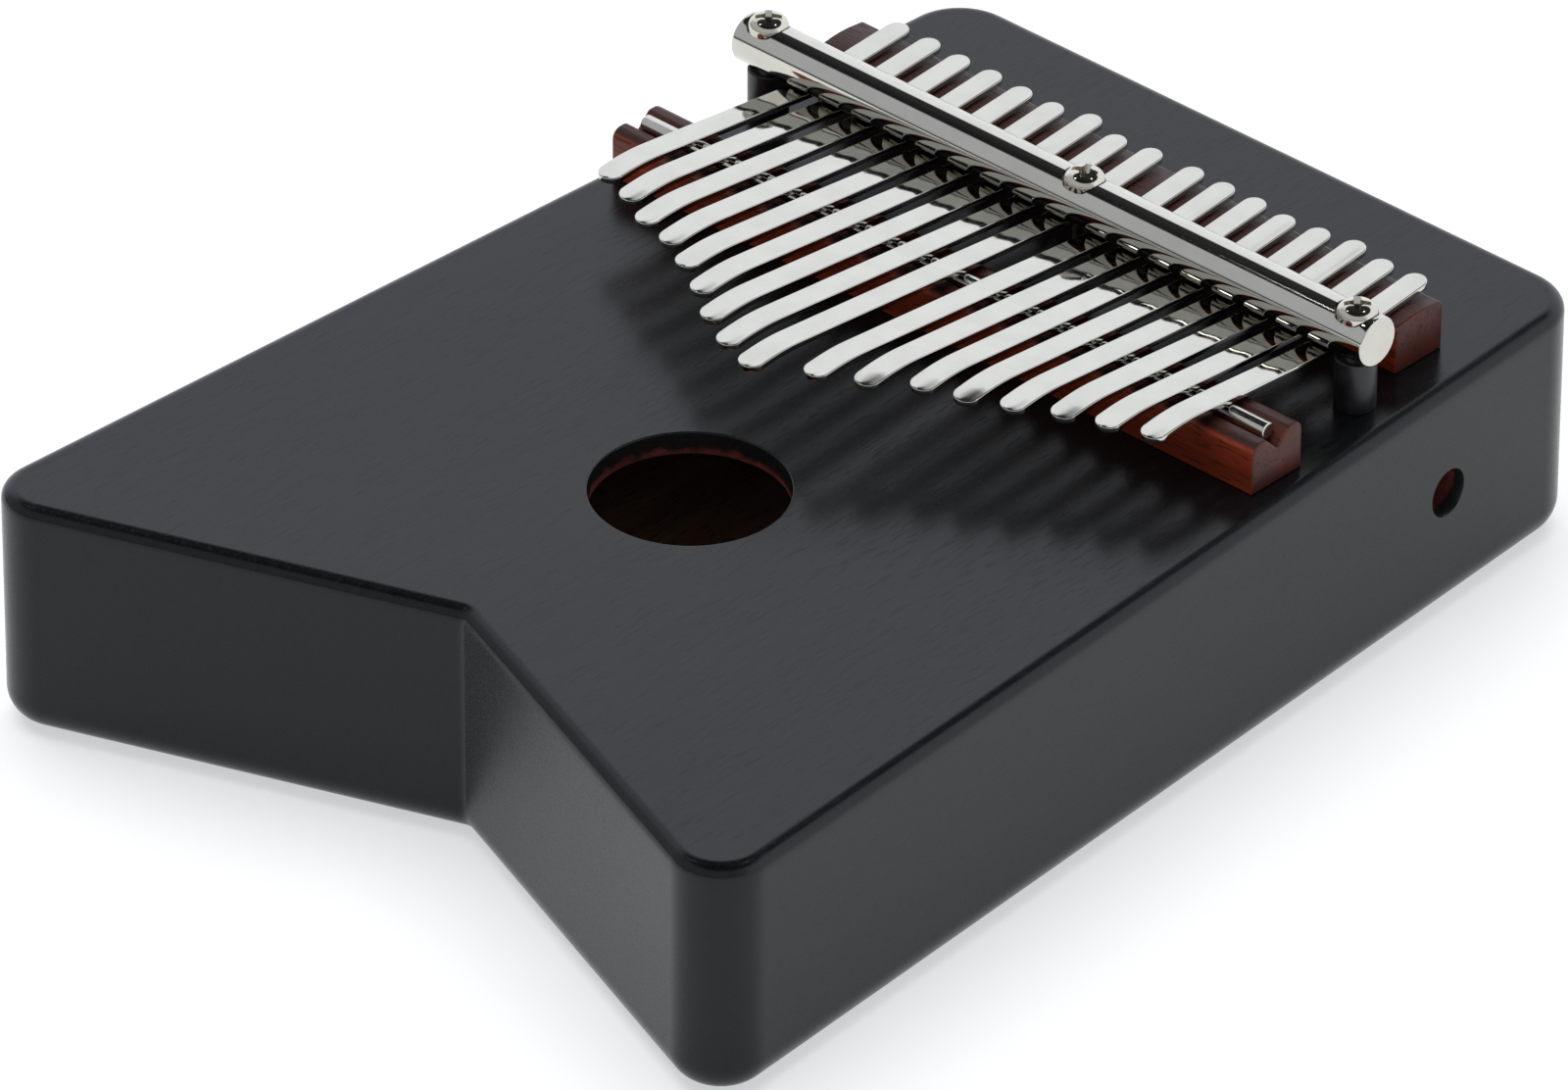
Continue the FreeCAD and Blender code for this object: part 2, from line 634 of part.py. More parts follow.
def bent_strip(label, first, second, turned):
    """A flat steel strip with one bend, starting at the rod, its far end rounded.

    first and second are (run, rise, run formula, rise formula), and a fall is a negative rise with a
    positive formula. The strip runs along its own +Y, and turned sends it along -Y.
    """
    body = new_body(label)
    thick = DRIVING["tine_thickness"]
    start = 0.5 * DRIVING["tine_split_gap"]
    floor = [(start, 0.0)]
    for run, rise, _, _ in (first, second):
        floor.append((floor[-1][0] + run, floor[-1][1] + rise))
    roof = [(x, y + thick) for x, y in reversed(floor)]
    sketch = new_sketch(body, label + "_profile", "YZ_Plane")
    closed_polygon(sketch, floor + roof)
    sketch.addConstraint(Sketcher.Constraint("PointOnObject", 0, 1, -1))
    measure(sketch, "DistanceX", ORIGIN, (0, 1), start, "dims.tine_split_gap / 2")
    for edge, (run, rise, run_formula, rise_formula) in enumerate((first, second)):
        measure(sketch, "DistanceX", (edge, 1), (edge, 2), run, run_formula)
        ends = ((edge, 1), (edge, 2)) if rise > 0 else ((edge, 2), (edge, 1))
        measure(sketch, "DistanceY", *ends, abs(rise), rise_formula)
    sketch.addConstraint(Sketcher.Constraint("Parallel", 1, 3))
    sketch.addConstraint(Sketcher.Constraint("Parallel", 0, 4))
    sketch.addConstraint(Sketcher.Constraint("Perpendicular", 1, 2))
    sketch.addConstraint(Sketcher.Constraint("Perpendicular", 0, 5))
    for edge in (2, 5):
        bound = sketch.addConstraint(Sketcher.Constraint("Distance", edge, thick))
        sketch.setExpression("Constraints[%d]" % bound, "dims.tine_thickness")
    step = pad(body, sketch, label + "_pad", "dims.tine_width", symmetric=True)
    reach = step.Shape.BoundBox.YMax

    def end_edge(edge):
        short = edge.Length < 1.2 * thick
        return short and edge.BoundBox.YMax > reach - thick and abs(edge.BoundBox.XLength) < 1e-6

    fillet(body, step, label + "_end", "dims.tine_end_round", end_edge)
    number = label.split("_")[1]
    key = "dims.tine_%s_" % number
    place(body, x=key + "rod_x", y="dims.front_bridge_station", z=BOARD_TOP + " + dims.tine_underside")
    angle = tines[int(number) - 1][3] + (180.0 if turned else 0.0)
    body.Placement.Rotation = FreeCAD.Rotation(Z_AXIS, angle)
    doc.recompute()
    return body


def make_tine(number):
    """One tine in two pieces that meet over the rod: the clamped root and the tongue that is plucked."""
    key = "tine_%02d" % number
    tongue, tail, _, _ = tines[number - 1]
    split = 0.5 * DRIVING["tine_split_gap"]
    knee = tongue - DRIVING["tip_bend_run"]
    bent_strip(
        key + "_root",
        (derived["front_run"] - split, -derived["front_drop"],
         "dims.front_run - dims.tine_split_gap / 2", "dims.front_drop"),
        (tail, tail * math.tan(math.radians(TAIL_SLOPE)),
         "dims.%s_tail_run" % key, "dims.%s_tail_rise" % key),
        turned=False,
    )
    bent_strip(
        key + "_tongue",
        (knee - split, knee * math.tan(math.radians(TONGUE_SLOPE)),
         "dims.%s_knee_run - dims.tine_split_gap / 2" % key, "dims.%s_knee_rise" % key),
        (DRIVING["tip_bend_run"], -derived["tip_drop"], "dims.tip_bend_run", "dims.tip_drop"),
        turned=True,
    )


# ---------------------------------------------------------------- build and write

make_case()
make_front_bridge()
make_rod()
make_rear_bridge()
make_bar()
for side in ("left", "right"):
    make_post(side)
for side in SCREW_X:
    make_screw(side)
for number in range(1, len(TINES) + 1):
    make_tine(number)
doc.recompute()

PARTS = [
    "soundboard", "body_rim", "back_plate", "screw_brace", "front_bridge", "bridge_rod", "rear_bridge",
    "pressure_bar", "left_post", "right_post", "left_screw", "middle_screw", "right_screw",
]
for number in range(1, len(TINES) + 1):
    PARTS += ["tine_%02d_root" % number, "tine_%02d_tongue" % number]

for thing in doc.Objects:
    if "Invalid" in thing.State or "Error" in thing.State:
        raise RuntimeError("%s failed: %s" % (thing.Label, thing.State))
os.makedirs("parts", exist_ok=True)
ready = []
for label in PARTS:
    thing = doc.getObjectsByLabel(label)[0]
    if thing.Shape.isNull() or not thing.Shape.isValid() or len(thing.Shape.Solids) != 1:
        raise RuntimeError(label + " has no single sound solid")
    ready.append((label, thing.Shape))
for label, shape in ready:
    shape.exportStep("parts/%s.step" % label)
print("wrote", len(ready), "parts")
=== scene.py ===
import json
import math
import random

import bmesh
import bpy
from mathutils import Matrix, Vector


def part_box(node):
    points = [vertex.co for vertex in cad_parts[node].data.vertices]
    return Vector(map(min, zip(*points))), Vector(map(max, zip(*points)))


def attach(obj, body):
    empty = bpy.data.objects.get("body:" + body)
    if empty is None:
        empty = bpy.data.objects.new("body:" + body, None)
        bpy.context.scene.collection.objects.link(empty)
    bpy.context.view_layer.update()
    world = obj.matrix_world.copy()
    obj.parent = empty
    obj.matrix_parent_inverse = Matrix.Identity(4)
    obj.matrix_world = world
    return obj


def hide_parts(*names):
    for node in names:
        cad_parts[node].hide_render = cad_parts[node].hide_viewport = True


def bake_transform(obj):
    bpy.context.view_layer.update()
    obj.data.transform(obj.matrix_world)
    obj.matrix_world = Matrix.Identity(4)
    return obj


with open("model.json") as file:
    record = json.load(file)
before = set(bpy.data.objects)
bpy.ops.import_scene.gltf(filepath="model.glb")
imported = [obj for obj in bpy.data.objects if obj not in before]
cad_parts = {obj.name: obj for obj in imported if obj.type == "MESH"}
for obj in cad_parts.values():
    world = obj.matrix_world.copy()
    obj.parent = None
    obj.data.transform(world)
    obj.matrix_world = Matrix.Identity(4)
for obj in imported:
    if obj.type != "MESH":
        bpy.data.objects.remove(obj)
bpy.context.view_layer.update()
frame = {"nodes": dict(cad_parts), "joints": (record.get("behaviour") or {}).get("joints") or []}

# A seventeen-note box kalimba. Metres; X right, +Y away from the player, +Z up, origin under the middle.

MM = 0.001
joints = {joint["name"]: joint for joint in frame["joints"]}

# ---------------------------------------------------------------- sizes shared with the design

BOARD_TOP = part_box("soundboard")[1][2]
BOARD_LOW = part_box("soundboard")[0][2]
BACK_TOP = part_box("back_plate")[1][2]
FAR_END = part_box("body_rim")[1][1]
CASE_LENGTH = 178.4 * MM
NEAR_LINE = FAR_END - CASE_LENGTH
NEAR_HALF = 65.55 * MM
FAR_HALF = 55.35 * MM
NOTCH_DEPTH = 24.6 * MM
NEAR_ROUND = 6.9 * MM
FAR_ROUND = 8.4 * MM
NOTCH_ROUND = 2.0 * MM
TOP_ROUND = 1.9 * MM
BACK_ROUND = 4.5 * MM
WALL = 9.4 * MM
CAVITY_ROUND = 5.0 * MM
HOLE_RADIUS = 13.1 * MM
HOLE_X = 1.75 * MM
HOLE_Y = NEAR_LINE + 64.7 * MM
HOLE_EASING = 0.22 * MM
VENT_RADIUS = 3.2 * MM
VENT_Y = NEAR_LINE + 149.2 * MM
VENT_Z = 18.5 * MM
# where the side hole's axis meets the slanting outer face
VENT_MOUTH = NEAR_HALF - (NEAR_HALF - FAR_HALF) / CASE_LENGTH * (VENT_Y - NEAR_LINE)

# ---------------------------------------------------------------- node helpers


class Nodes:
    """A material or world node tree with short ways to add and join nodes."""

    def __init__(self, tree):
        self.tree = tree

    def add(self, kind, **settings):
        """A new node with some of its settings changed."""
        node = self.tree.nodes.new(kind)
        for key, value in settings.items():
            setattr(node, key, value)
        return node

    def link(self, source, target):
        self.tree.links.new(source, target)

    def values(self, node, **inputs):
        """Sets constants on a node's sockets; an underscore in a name stands for a space."""
        for key, value in inputs.items():
            node.inputs[key.replace("_", " ")].default_value = value

    def position(self, scale=(1.0, 1.0, 1.0), offset=(0.0, 0.0, 0.0)):
        """Object coordinates, stretched; the scale is in features per metre."""
        coords = self.add("ShaderNodeTexCoord")
        mapping = self.add("ShaderNodeMapping")
        self.values(mapping, Scale=scale, Location=offset)
        self.link(coords.outputs["Object"], mapping.inputs["Vector"])
        return mapping.outputs["Vector"]

    def noise(self, vector, detail=4.0, rough=0.55, distortion=0.0):
        """Noise whose size comes from the vector's own scale."""
        node = self.add("ShaderNodeTexNoise")
        self.values(node, Scale=1.0, Detail=detail, Roughness=rough, Distortion=distortion)
        self.link(vector, node.inputs["Vector"])
        return node.outputs["Fac"]

    def ramp(self, source, stops):
        """A colour ramp; stops are (position, value or colour)."""
        node = self.add("ShaderNodeValToRGB")
        elements = node.color_ramp.elements
        while len(elements) < len(stops):
            elements.new(0.5)
        for element, (place, value) in zip(elements, stops):
            element.position = place
            colour = value if isinstance(value, tuple) else (value, value, value)
            element.color = (*colour, 1.0)
        self.link(source, node.inputs["Fac"])
        return node.outputs["Color"]

    def math(self, operation, first, second=0.0):
        node = self.add("ShaderNodeMath", operation=operation)
        for socket, value in zip(node.inputs, (first, second)):
            if isinstance(value, (int, float)):
                socket.default_value = value
            else:
                self.link(value, socket)
        return node.outputs[0]

    def mix(self, factor, first, second):
        """Mixes two colours by a factor; each may be a socket or a constant."""
        node = self.add("ShaderNodeMix", data_type="RGBA")
        sockets = (node.inputs[0], node.inputs[6], node.inputs[7])
        for socket, value in zip(sockets, (factor, first, second)):
            if isinstance(value, (int, float)):
                socket.default_value = value
            elif isinstance(value, tuple):
                socket.default_value = (*value, 1.0)
            else:
                self.link(value, socket)
        return node.outputs[2]

    def range(self, source, low, high, new_low, new_high, smooth=False):
        """Maps low..high to new_low..new_high, clamped, and eased at both ends if smooth."""
        node = self.add("ShaderNodeMapRange")
        if smooth:
            node.interpolation_type = "SMOOTHSTEP"
        self.values(node, From_Min=low, From_Max=high, To_Min=new_low, To_Max=new_high)
        self.link(source, node.inputs["Value"])
        return node.outputs["Result"]

    def bump(self, height, distance, strength, normal=None):
        """A bumped normal; distance is in metres, and normal is one to build on."""
        node = self.add("ShaderNodeBump")
        self.values(node, Strength=strength, Distance=distance)
        self.link(height, node.inputs["Height"])
        if normal:
            self.link(normal, node.inputs["Normal"])
        return node.outputs["Normal"]


def new_material(name):
    """An empty Principled material: the material, its nodes and its shader."""
    material = bpy.data.materials.new(name)
    material.use_nodes = True
    shader = material.node_tree.nodes["Principled BSDF"]
    return material, Nodes(material.node_tree), shader


# ---------------------------------------------------------------- materials

def lacquer_material():
    """Thin satin-gloss black lacquer over fine-grained wood: faint short grain lines along the length."""
    material, n, shader = new_material("black_lacquer")
    n.values(shader, IOR=1.36, Specular_Tint=(0.94, 0.985, 1.0, 1.0))
    grain = n.noise(n.position((900, 110, 900)), detail=5, rough=0.6)
    pores = n.noise(n.position((2600, 330, 2600), (0.3, 0.1, 0)), detail=2, rough=0.5)
    mottle = n.noise(n.position((40, 14, 40)), detail=3)
    colour = n.ramp(grain, [(0.30, (0.0012, 0.0014, 0.0018)), (0.72, (0.0032, 0.0033, 0.0036))])
    n.link(colour, shader.inputs["Base Color"])
    gloss = n.math("ADD", n.range(mottle, 0.3, 0.7, 0.22, 0.26), n.range(pores, 0.52, 0.66, 0.0, 0.06))
    n.link(gloss, shader.inputs["Roughness"])
    pits = n.range(pores, 0.60, 0.74, 0.0, -1.0)
    waves = n.bump(grain, 0.000006, 0.16)
    n.link(n.bump(pits, 0.00002, 0.25, waves), shader.inputs["Normal"])
    return material


def wood_nodes(n, axis, light, dark, pore, scale=1.0):
    """Colour and height of wood whose grain runs along an axis (0, 1 or 2): bands, fibres, open pores."""
    def along(cross, run):
        size = [cross * scale] * 3
        size[axis] = run * scale
        return tuple(size)

    bands = n.noise(n.position(along(230, 16)), detail=4, rough=0.5, distortion=0.6)
    fibres = n.noise(n.position(along(2200, 70)), detail=4, rough=0.7)
    pores = n.noise(n.position(along(3000, 330)), detail=1, rough=0.4)
    between = tuple(0.5 * (a + b) for a, b in zip(light, dark))
    colour = n.ramp(bands, [(0.32, dark), (0.52, between), (0.68, light)])
    colour = n.mix(n.range(fibres, 0.35, 0.70, 0.0, 0.55), colour, tuple(0.45 * v for v in dark))
    mask = n.range(pores, 0.60, 0.68, 0.0, 1.0)
    colour = n.mix(n.math("MULTIPLY", mask, 0.75), colour, pore)
    height = n.math("SUBTRACT", n.math("MULTIPLY", fibres, 0.4), mask)
    return colour, height


def red_wood_material():
    """The bridges: oiled red-brown hardwood, grain along X, with painted shade on the top and the ends, which
    also stands for the end grain's own darker tone.
    """
    material, n, shader = new_material("red_wood")
    light, dark, pore = (0.370, 0.052, 0.013), (0.150, 0.020, 0.006), (0.014, 0.004, 0.002)
    # painted shade: a near-black colour laid over faces by the way they face, darkening the top and the ends
    # for the light they miss; on the ends it also gives the end grain's own darker tone
    shade_and_end_grain_colour = (0.014, 0.004, 0.003)
    colour, height = wood_nodes(n, 0, light, dark, pore)
    geometry = n.add("ShaderNodeNewGeometry")
    split = n.add("ShaderNodeSeparateXYZ")
    n.link(geometry.outputs["Normal"], split.inputs[0])
    # painted shade by facing direction: faces looking up and faces looking along X are darkened
    on_top = n.range(split.outputs[2], 0.35, 0.80, 0.0, 0.97, smooth=True)
    on_end = n.range(n.math("ABSOLUTE", split.outputs[0]), 0.40, 0.85, 0.0, 0.80, smooth=True)
    shade_and_end_grain_mask = n.math("MAXIMUM", on_top, on_end)
    n.link(n.mix(shade_and_end_grain_mask, colour, shade_and_end_grain_colour), shader.inputs["Base Color"])
    n.values(shader, IOR=1.38)
    n.link(n.range(height, -1.0, 0.4, 0.62, 0.36), shader.inputs["Roughness"])
    n.link(n.bump(height, 0.00005, 0.5), shader.inputs["Normal"])
    return material


def bare_wood_material():
    """The unfinished inside of the case."""
    material, n, shader = new_material("bare_wood")
    light, dark, pore = (0.380, 0.230, 0.140), (0.240, 0.130, 0.080), (0.060, 0.035, 0.025)
    colour, height = wood_nodes(n, 1, light, dark, pore)
    n.link(colour, shader.inputs["Base Color"])
    n.link(n.range(height, -1.0, 0.4, 0.85, 0.65), shader.inputs["Roughness"])
    n.link(n.bump(height, 0.00006, 0.6), shader.inputs["Normal"])
    return material


def cut_edge_material(name, axis, start, depth):
    """The wall of a hole: black lacquer that has run in from the mouth, then bare red-brown wood.

    start is where the mouth is along the axis, and depth is how far the lacquer runs in, with its sign.
    """
    material, n, shader = new_material(name)
    light, dark, pore = (0.170, 0.024, 0.014), (0.070, 0.011, 0.008), (0.020, 0.005, 0.004)
    black = (0.006, 0.006, 0.006)
    colour, height = wood_nodes(n, 1, light, dark, pore, scale=1.4)
    split = n.add("ShaderNodeSeparateXYZ")
    n.link(n.position(), split.inputs[0])
    ragged = n.noise(n.position((420, 420, 420)), detail=3)
    wander = 0.30 * abs(depth)
    shift = n.range(ragged, 0.2, 0.8, -wander, wander)
    where = n.math("ADD", split.outputs[axis], shift)
    mask = n.range(where, start + depth, start + 0.6 * depth, 0.0, 1.0, smooth=True)
    n.link(n.mix(mask, colour, black), shader.inputs["Base Color"])
    n.link(n.range(mask, 0.0, 1.0, 0.6, 0.3), shader.inputs["Roughness"])
    n.link(n.bump(height, 0.00004, 0.4), shader.inputs["Normal"])
    return material


def nickel_material(name, colour, rough, axis=None, waves=0.0):
    """Polished nickel plate, with polishing lines along an axis and a slight waviness of the surface."""
    material, n, shader = new_material(name)
    n.values(shader, Metallic=1.0)
    size = [1500.0] * 3
    if axis is not None:
        size[axis] = 30.0
    lines = n.noise(n.position(tuple(size)), detail=4, rough=0.6)
    cloud = n.noise(n.position((220, 220, 220)), detail=3)
    darker = tuple(0.94 * v for v in colour)
    n.link(n.ramp(cloud, [(0.35, darker), (0.62, colour)]), shader.inputs["Base Color"])
    n.link(n.range(lines, 0.35, 0.70, 0.7 * rough, 1.5 * rough), shader.inputs["Roughness"])
    normal = n.bump(lines, 0.000001, 0.25)
    if waves:
        swell = n.noise(n.position((260, 70, 260)), detail=1)
        normal = n.bump(swell, waves, 0.6, normal)
    n.link(normal, shader.inputs["Normal"])
    return material


def post_material():
    """Satin black sleeves with faint turning rings."""
    material, n, shader = new_material("black_post")
    rings = n.noise(n.position((60, 60, 5200)), detail=2)
    dust = n.noise(n.position((700, 700, 700)), detail=4)
    colour = n.ramp(dust, [(0.35, (0.006, 0.006, 0.007)), (0.75, (0.014, 0.014, 0.016))])
    n.link(colour, shader.inputs["Base Color"])
    n.link(n.range(dust, 0.3, 0.7, 0.32, 0.42), shader.inputs["Roughness"])
    n.link(n.bump(rings, 0.000004, 0.3), shader.inputs["Normal"])
    return material


def floor_material():
    """A plain pale floor, lit from below like a light table, with a barely visible texture."""
    material, n, shader = new_material("pale_floor")
    cloud = n.noise(n.position((2, 2, 2)), detail=2)
    n.link(n.ramp(cloud, [(0.3, 0.31), (0.7, 0.33)]), shader.inputs["Base Color"])
    n.values(shader, Roughness=0.9, Specular_IOR_Level=0.1)
    n.values(shader, Emission_Color=(0.97, 0.99, 1.0, 1.0), Emission_Strength=0.56)
    return material


# ---------------------------------------------------------------- mesh helpers

def finish_mesh(name, bm, materials, sharp=38.0):
    """Turns a bmesh into a linked object, smooth except at sharp edges, normals outwards."""
    bmesh.ops.recalc_face_normals(bm, faces=bm.faces)
    for face in bm.faces:
        face.smooth = True
    mesh = bpy.data.meshes.new(name)
    bm.to_mesh(mesh)
    bm.free()
    for material in materials:
        mesh.materials.append(material)
    mesh.set_sharp_from_angle(angle=math.radians(sharp))
    obj = bpy.data.objects.new(name, mesh)
    bpy.context.scene.collection.objects.link(obj)
    return obj


def ring(bm, points):
    """A closed loop of vertices; the faces that use it make its edges."""
    return [bm.verts.new(point) for point in points]


def skin(bm, first, second, slot=0):
    """Quads between two closed rings of the same length."""
    count = len(first)
    for i in range(count):
        j = (i + 1) % count
        face = bm.faces.new((first[i], first[j], second[j], second[i]))
        face.material_index = slot


def skins(bm, rings, slot=0):
    """Quads between each ring and the next."""
    for first, second in zip(rings, rings[1:]):
        skin(bm, first, second, slot)


def fill(bm, loops, slot=0):
    """A flat face bounded by one ring, with the other rings as holes in it."""
    edges = []
    for loop in loops:
        for i in range(len(loop)):
            edges.append(bm.edges.get((loop[i], loop[(i + 1) % len(loop)])))
    made = bmesh.ops.triangle_fill(bm, use_beauty=True, edges=edges)
    for item in made["geom"]:
        if isinstance(item, bmesh.types.BMFace):
            item.material_index = slot


def circle(centre, radius, count, z):
    """The points of a level circle."""
    turn = 2.0 * math.pi / count
    return [
        Vector((centre[0] + radius * math.cos(turn * i), centre[1] + radius * math.sin(turn * i), z))
        for i in range(count)
    ]


def rounded(corners, arc_steps, spacing):
    """Samples a closed outline of (x, y, radius) corners, anticlockwise, as (point, outward normal) pairs.

    Round corners take arc_steps steps, and straight runs a point beside each arc and then one per spacing.
    """
    count = len(corners)
    arcs = []
    for i in range(count):
        here = Vector(corners[i][:2])
        back = (Vector(corners[i - 1][:2]) - here).normalized()
        ahead = (Vector(corners[(i + 1) % count][:2]) - here).normalized()
        radius = corners[i][2]
        half = 0.5 * back.angle(ahead)
        reach = radius / math.tan(half)
        centre = here + (back + ahead).normalized() * (radius / math.sin(half))
        left_turn = (-back).cross(ahead) > 0.0
        sign = 1.0 if left_turn else -1.0
        start = (here + back * reach - centre).normalized()
        sweep = sign * (math.pi - 2.0 * half)
        arc = []
        for k in range(arc_steps + 1):
            out = Matrix.Rotation(sweep * k / arc_steps, 2) @ start
            arc.append((centre + out * radius, out * sign))
        arcs.append(arc)
    result = []
    for i in range(count):
        arc = arcs[i]
        following = arcs[(i + 1) % count][0]
        result += arc
        start, normal = arc[-1]
        run = following[0] - start
        steps = max(2, round(run.length / spacing))
        edge = min(0.08, 0.3 * MM / max(run.length, MM))
        places = [edge] + [k / steps for k in range(1, steps)] + [1.0 - edge]
        for place in places:
            result.append((start + run * place, normal))
    return result


def lift(outline, inset, z):
    """A ring of the outline moved inwards by inset, at height z."""
    return [Vector((*(point - normal * inset), z)) for point, normal in outline]


def lathe(bm, profile, place, count):
    """Turns a profile of (radius, height) round an axis; a radius of 0 closes an end.

    place maps two coordinates across the axis and one along it to a point in space.
    """
    rings = []
    for radius, height in profile:
        if radius == 0.0:
            rings.append([bm.verts.new(place(0.0, 0.0, height))])
            continue
        points = []
        for i in range(count):
            angle = 2.0 * math.pi * i / count
            points.append(place(radius * math.cos(angle), radius * math.sin(angle), height))
        rings.append(ring(bm, points))
    for first, second in zip(rings, rings[1:]):
        if len(first) == 1 or len(second) == 1:
            tip, loop = (first[0], second) if len(first) == 1 else (second[0], first)
            for i in range(count):
                bm.faces.new((tip, loop[i], loop[(i + 1) % count]))
        else:
            skin(bm, first, second)


def quarter(centre, radius, start, end, steps):
    """Points of an arc in the (radius, height) plane, angles in degrees."""
    points = []
    for k in range(steps + 1):
        angle = math.radians(start + (end - start) * k / steps)
        points.append((centre[0] + radius * math.cos(angle), centre[1] + radius * math.sin(angle)))
    return points


def cut(obj, *cutters):
    """Subtracts closed meshes from an object for good."""
    for cutter in cutters:
        modifier = obj.modifiers.new("cut", "BOOLEAN")
        modifier.operation = "DIFFERENCE"
        modifier.solver = "EXACT"
        modifier.object = cutter
    bpy.context.view_layer.update()
    evaluated = obj.evaluated_get(bpy.context.evaluated_depsgraph_get())
    mesh = bpy.data.meshes.new_from_object(evaluated)
    obj.modifiers.clear()
    old = obj.data
    obj.data = mesh
    bpy.data.meshes.remove(old)
    mesh.name = obj.name
    for cutter in cutters:
        bpy.data.objects.remove(cutter)


# ---------------------------------------------------------------- the case

CASE_SPACING = 9.0 * MM
SEAM_LAND = 0.2 * MM
# material slots after the lacquer in slot 0; the back has no cut edge
CUT_SLOT, BARE_SLOT = 1, 2
BACK_BARE_SLOT = 1


def case_outline(inset, near_round, far_round, notch_round, arc_steps=18):
    """The plan of the case, or of a wall's inside when inset is not 0."""
    taper = (NEAR_HALF - FAR_HALF) / CASE_LENGTH
    slant = NOTCH_DEPTH / NEAR_HALF
    side = NEAR_HALF - inset * math.hypot(1.0, taper)
    notch = NOTCH_DEPTH + inset * math.hypot(1.0, slant)
    far = CASE_LENGTH - inset
    near_x = (side - taper * notch) / (1.0 - taper * slant)
    near_y = notch - slant * near_x
    far_x = side - taper * far
    corners = [
        (-near_x, near_y, near_round), (0.0, notch, notch_round), (near_x, near_y, near_round),
        (far_x, far, far_round), (-far_x, far, far_round),
    ]
    moved = [(x, y + NEAR_LINE, radius) for x, y, radius in corners]
    return rounded(moved, arc_steps, CASE_SPACING)


def outer_outline():
    """The plan of the case's outer face, which all three layers share."""
    return case_outline(0.0, NEAR_ROUND, FAR_ROUND, NOTCH_ROUND)


def back_edge(angle):
    """Inset and height on the round edge of the back; 0 degrees is the flat back, 90 the wall."""
    turn = math.radians(angle)
    return BACK_ROUND * (1.0 - math.sin(turn)), BACK_ROUND * (1.0 - math.cos(turn))


def make_soundboard(materials):
    """The top plate: eased sound hole, rounded outer edge. Slots: lacquer, cut edge, bare wood."""
    bm = bmesh.new()
    outline = outer_outline()
    levels = [(0.0, BOARD_LOW), (0.0, BOARD_LOW + SEAM_LAND)]
    for inset, z in quarter((0.0, 0.0), TOP_ROUND, 0, 90, 9):
        levels.append((TOP_ROUND - inset, BOARD_TOP - TOP_ROUND + z))
    land = 0.12 * MM
    levels.append((TOP_ROUND + land, BOARD_TOP))
    outer = [ring(bm, lift(outline, inset, z)) for inset, z in levels]
    skins(bm, outer)
    sides = 128
    centre = (HOLE_X, HOLE_Y)
    profile = [(HOLE_RADIUS + HOLE_EASING + land, BOARD_TOP)]
    profile += quarter((HOLE_RADIUS + HOLE_EASING, BOARD_TOP - HOLE_EASING), HOLE_EASING, 90, 180, 5)
    hole = [ring(bm, circle(centre, radius, sides, z)) for radius, z in profile]
    skins(bm, hole)
    wall = [hole[-1], ring(bm, circle(centre, HOLE_RADIUS, sides, BOARD_LOW))]
    skins(bm, wall, CUT_SLOT)
    fill(bm, [outer[-1], hole[0]])
    fill(bm, [outer[0], wall[-1]], BARE_SLOT)
    return finish_mesh("soundboard_plate", bm, materials)


def make_rim(materials):
    """The case's frame with its hollow and the side hole. Slots: lacquer, cut edge, bare wood."""
    bm = bmesh.new()
    outline = outer_outline()
    heights = (BACK_TOP, BACK_TOP + SEAM_LAND, BOARD_LOW - SEAM_LAND, BOARD_LOW)
    outer = [ring(bm, lift(outline, 0.0, z)) for z in heights]
    skins(bm, outer)
    inner_outline = case_outline(WALL, CAVITY_ROUND, CAVITY_ROUND, CAVITY_ROUND, arc_steps=8)
    inner = [ring(bm, lift(inner_outline, 0.0, z)) for z in (BACK_TOP, BOARD_LOW)]
    skins(bm, inner, BARE_SLOT)
    fill(bm, [outer[0], inner[0]], BARE_SLOT)
    fill(bm, [outer[-1], inner[-1]], BARE_SLOT)
    rim = finish_mesh("case_frame", bm, materials)
    cut(rim, make_vent_drill())
    for face in rim.data.polygons:
        away = math.hypot(face.center.y - VENT_Y, face.center.z - VENT_Z)
        in_wall = face.center.x > VENT_MOUTH - 2.0 * WALL and abs(face.normal.x) < 0.9
        if in_wall and away < VENT_RADIUS + 0.5 * MM:
            face.material_index = CUT_SLOT
    rim.data.set_sharp_from_angle(angle=math.radians(38.0))
    return rim


def make_vent_drill():
    """The side hole's shape to take out of the frame: a bore along X with an eased mouth."""
    outer_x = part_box("body_rim")[1][0]
    drill = bmesh.new()
    easing = 0.25 * MM
    start = VENT_MOUTH - 2.0 * WALL
    profile = [(0.0, start), (VENT_RADIUS, start), (VENT_RADIUS, VENT_MOUTH - 0.45 * MM)]
    profile += [(VENT_RADIUS + easing, VENT_MOUTH + 0.05 * MM), (VENT_RADIUS + 4.0 * easing, outer_x)]
    profile += [(0.0, outer_x)]
    lathe(drill, profile, along_x(VENT_Y, VENT_Z), 64)
    return finish_mesh("vent_drill", drill, [])


def make_back(materials):
    """The back with its round edge. Slots: lacquer, bare wood on the side that closes the hollow."""
    bm = bmesh.new()
    outline = outer_outline()
    steps = 12
    levels = [(BACK_ROUND + 0.15 * MM, 0.0)] + [back_edge(90.0 * k / steps) for k in range(steps + 1)]
    levels += [(0.0, BACK_TOP - 0.1 * MM), (0.0, BACK_TOP)]
    rings = [ring(bm, lift(outline, inset, z)) for inset, z in levels]
    skins(bm, rings)
    fill(bm, [rings[0]])
    fill(bm, [rings[-1]], BACK_BARE_SLOT)
    return finish_mesh("case_back", bm, materials)


# ---------------------------------------------------------------- bridges, rod, posts

